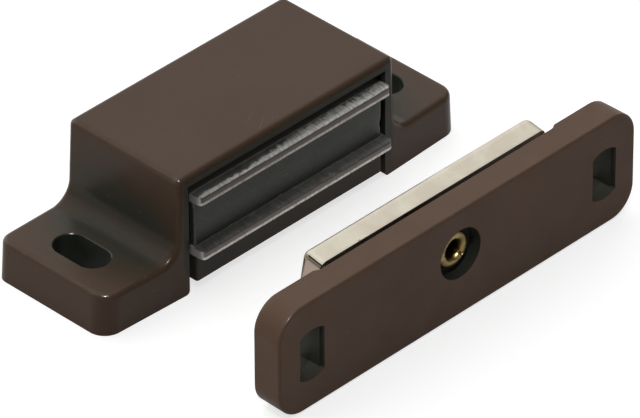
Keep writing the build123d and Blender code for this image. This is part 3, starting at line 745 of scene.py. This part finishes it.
def buildRivetTree():
    tree, given = newGrowth("rolledRivet", [
        ("Geometry", "geometry"), ("Points", "int"), ("Turns", "int"), ("Middle", "vector"),
        ("Uneven", "float"), ("Uneven Scale", "float"), ("Split Angle", "float"), ("Split Width", "float"),
        ("Split Depth", "float"), ("Seed", "float"), ("Material", "material")])
    columns = maths(tree, "ADD", given["Turns"], 1.0)
    sheet = addNode(tree, "GeometryNodeMeshGrid", {"Vertices X": columns, "Vertices Y": given["Points"]})
    index = tree.nodes.new("GeometryNodeInputIndex").outputs[0]
    along = maths(tree, "MODULO", index, given["Points"])
    turn = maths(tree, "FLOOR", maths(tree, "DIVIDE", maths(tree, "ADD", index, 0.5), given["Points"]))
    angle = maths(tree, "DIVIDE",
                  maths(tree, "MULTIPLY", maths(tree, "MODULO", turn, given["Turns"]), math.tau),
                  given["Turns"])
    outline = addNode(tree, "GeometryNodeSampleIndex",
                      {"Geometry": given["Geometry"],
                        "Value": tree.nodes.new("GeometryNodeInputPosition").outputs[0],
                       "Index": along}, data_type="FLOAT_VECTOR")
    parts = addNode(tree, "ShaderNodeSeparateXYZ", {"Vector": outline.outputs["Value"]}).outputs
    radius, depth, lip = parts[0], parts[1], parts[2]
    cosine, sine = maths(tree, "COSINE", angle), maths(tree, "SINE", angle)
    ring = addNode(tree, "ShaderNodeCombineXYZ", {"X": cosine, "Y": sine, "Z": 0.0}).outputs[0]
    uneven = addNode(tree, "ShaderNodeTexNoise",
                     {"Vector": ring, "W": given["Seed"], "Scale": given["Uneven Scale"], "Detail": 3.0},
                     noise_dimensions="4D").outputs["Fac"]
    uneven = maths(tree, "MULTIPLY", maths(tree, "SUBTRACT", uneven, 0.5),
                   maths(tree, "MULTIPLY", given["Uneven"], 4.0))
    apart = maths(tree, "PINGPONG", maths(tree, "SUBTRACT", angle, given["Split Angle"]), math.pi)
    split = addNode(tree, "ShaderNodeMapRange",
                    {"Value": apart, "From Min": 0.0, "From Max": given["Split Width"], "To Min": 1.0,
                     "To Max": 0.0}, interpolation_type="SMOOTHSTEP").outputs["Result"]
    split = maths(tree, "MULTIPLY", split, given["Split Depth"])
    lipFull = maths(tree, "GREATER_THAN", lip, 0.55 * mm)
    bigger = maths(tree, "ADD", maths(tree, "MULTIPLY", maths(tree, "DIVIDE", lip, mm), uneven),
                   maths(tree, "MULTIPLY", lipFull, split))
    radius = maths(tree, "ADD", radius, bigger)
    depth = maths(tree, "ADD", depth, maths(tree, "MULTIPLY", lipFull, maths(tree, "MULTIPLY", split, 0.9)))
    spot = addNode(tree, "ShaderNodeCombineXYZ",
                   {"X": maths(tree, "MULTIPLY", radius, cosine), "Y": depth,
                    "Z": maths(tree, "MULTIPLY", radius, sine)}).outputs[0]
    moved = addNode(tree, "GeometryNodeSetPosition",
                    {"Geometry": sheet.outputs["Mesh"],
                     "Position": vectorMaths(tree, "ADD", spot, given["Middle"])})
    closed = addNode(tree, "GeometryNodeMergeByDistance",
                     {"Geometry": moved.outputs[0], "Distance": 0.002 * mm})
    endGrowth(tree, closed.outputs[0], given["Material"])
    return tree


rivetLow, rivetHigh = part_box("tubular_rivet")
rivetPoints = rivetOutline(rivetLook, (rivetHigh[0] - rivetLow[0]) / 2 / mm,
                           (rivetHigh[1] - rivetLow[1]) / mm)
rivetLine = bpy.data.meshes.new("rivetLine")
rivetLine.from_pydata([(radius * mm, depth * mm, lip * mm) for depth, radius, lip in rivetPoints], [], [])
growPiece("rolledRivet", buildRivetTree(), {
    "Points": len(rivetPoints), "Turns": rivetLook["turns"],
    "Middle": Vector(((rivetLow[0] + rivetHigh[0]) / 2, rivetLow[1], (rivetLow[2] + rivetHigh[2]) / 2)),
    "Uneven": rivetLook["uneven"] * mm, "Uneven Scale": rivetLook["unevenScale"],
    "Split Angle": rivetLook["splitAngle"], "Split Width": rivetLook["splitWidth"],
    "Split Depth": rivetLook["splitDepth"] * mm, "Seed": rivetLook["seed"], "Material": brass,
}, "counter_piece", "tubular_rivet", base=rivetLine)


# floor, light and camera

studio = {
    "floorSize": 3.0, "floorGrey": 0.5, "floorGlowSeen": 0.7, "floorMirrored": 1.0, "contactReach": 12 * mm,
    "panelTurn": Vector((0.12, 0.8, 0.66)), "panelLevel": 1.45, "panelInner": 0.86, "panelOuter": 0.3,
    "shadeLevel": 0.14,
    "sparkSpot": Vector((-0.42, -0.38, 1.0)), "sparkSize": 0.05, "sparkPower": 2.2,
    "glintSpot": Vector((-0.46, -0.36, 0.95)), "glintSize": 0.12, "glintPower": 16.0,
}


def buildFloor(look):
    half = look["floorSize"] / 2
    mesh = bpy.data.meshes.new("floor")
    corners = [(-half, -half, 0), (half, -half, 0), (half, half, 0), (-half, half, 0)]
    mesh.from_pydata(corners, [], [(0, 1, 2, 3)])
    floor = bpy.data.objects.new("floor", mesh)
    scene.collection.objects.link(floor)
    made = bpy.data.materials.new("paleFloor")
    made.use_nodes = True
    tree = made.node_tree
    tree.nodes.clear()
    rays = tree.nodes.new("ShaderNodeLightPath").outputs
    paper = addNode(tree, "ShaderNodeBsdfDiffuse", {"Color": (look["floorGrey"],) * 3 + (1,)})
    light = addNode(tree, "ShaderNodeEmission",
                    {"Strength": maths(tree, "MULTIPLY", rays["Is Camera Ray"], look["floorGlowSeen"])})
    both = addNode(tree, "ShaderNodeAddShader", {0: paper.outputs[0], 1: light.outputs[0]})
    # gloss sees white paper too, with a painted contact shade that dims it close under the catch
    air = addNode(tree, "ShaderNodeAmbientOcclusion", {"Distance": look["contactReach"]}, samples=4)
    white = addNode(tree, "ShaderNodeEmission",
                    {"Strength": maths(tree, "MULTIPLY", ramp(tree, air.outputs["AO"], 0.15, 0.75, 0.2),
                                       look["floorMirrored"])})
    mirrored = maths(tree, "MAXIMUM", rays["Is Glossy Ray"], rays["Is Transmission Ray"])
    whole = addNode(tree, "ShaderNodeMixShader", {0: mirrored, 1: both.outputs[0], 2: white.outputs[0]})
    result = tree.nodes.new("ShaderNodeOutputMaterial")
    tree.links.new(whole.outputs[0], result.inputs["Surface"])
    mesh.materials.append(made)


def buildSky(look):
    # one wide soft panel behind the catch, dim elsewhere, and white wherever it is seen
    sky = bpy.data.worlds.new("studioSky")
    scene.world = sky
    sky.use_nodes = True
    tree = sky.node_tree
    tree.nodes.clear()
    way = tree.nodes.new("ShaderNodeTexCoord").outputs["Generated"]
    along = addNode(tree, "ShaderNodeVectorMath", {0: way, 1: look["panelTurn"].normalized()},
                    operation="DOT_PRODUCT").outputs["Value"]
    level = ramp(tree, along, look["panelOuter"], look["panelInner"], look["shadeLevel"], look["panelLevel"])
    rays = tree.nodes.new("ShaderNodeLightPath").outputs
    seen = maths(tree, "MAXIMUM", rays["Is Camera Ray"], rays["Is Transmission Ray"])
    level = maths(tree, "MAXIMUM", level, seen)
    shell = addNode(tree, "ShaderNodeBackground", {"Color": (1, 1, 1, 1), "Strength": level})
    result = tree.nodes.new("ShaderNodeOutputWorld")
    tree.links.new(shell.outputs[0], result.inputs["Surface"])


def buildLamp(name, spot, size, power, glossOnly=False):
    data = bpy.data.lights.new(name, "AREA")
    data.shape = "DISK"
    data.size = size
    data.energy = power
    lamp = bpy.data.objects.new(name, data)
    scene.collection.objects.link(lamp)
    lamp.matrix_world = Matrix.Translation(spot) @ (-spot).to_track_quat("-Z", "Y").to_matrix().to_4x4()
    lamp.visible_diffuse = not glossOnly


camera = {
    "aim": Vector((-0.00015, -0.0124, 0.006)), "azimuth": 45.474, "elevation": 35.766, "roll": -0.273,
    "distance": 0.9, "slideRight": 0.001607, "slideUp": -0.000627, "lens": 440.7, "sensor": 36.0,
}


def placeCamera(look):
    az, el, ro = (math.radians(look[k]) for k in ("azimuth", "elevation", "roll"))
    back = Vector((-math.sin(az) * math.cos(el), -math.cos(az) * math.cos(el), math.sin(el)))
    level = Vector((math.cos(az), -math.sin(az), 0.0))
    right = math.cos(ro) * level + math.sin(ro) * back.cross(level)
    up = back.cross(right)
    spot = look["aim"] + look["distance"] * back + look["slideRight"] * right + look["slideUp"] * up
    data = bpy.data.cameras.new("catchCamera")
    data.lens = look["lens"]
    data.sensor_width = look["sensor"]
    made = bpy.data.objects.new("catchCamera", data)
    scene.collection.objects.link(made)
    made.matrix_world = Matrix.Translation(spot) @ Matrix((right, up, back)).transposed().to_4x4()
    scene.camera = made


buildFloor(studio)
buildSky(studio)
buildLamp("sparkLamp", studio["sparkSpot"], studio["sparkSize"], studio["sparkPower"])
buildLamp("glintLamp", studio["glintSpot"], studio["glintSize"], studio["glintPower"], glossOnly=True)
placeCamera(camera)
scene.view_settings.view_transform = "Standard"
print("stage set")
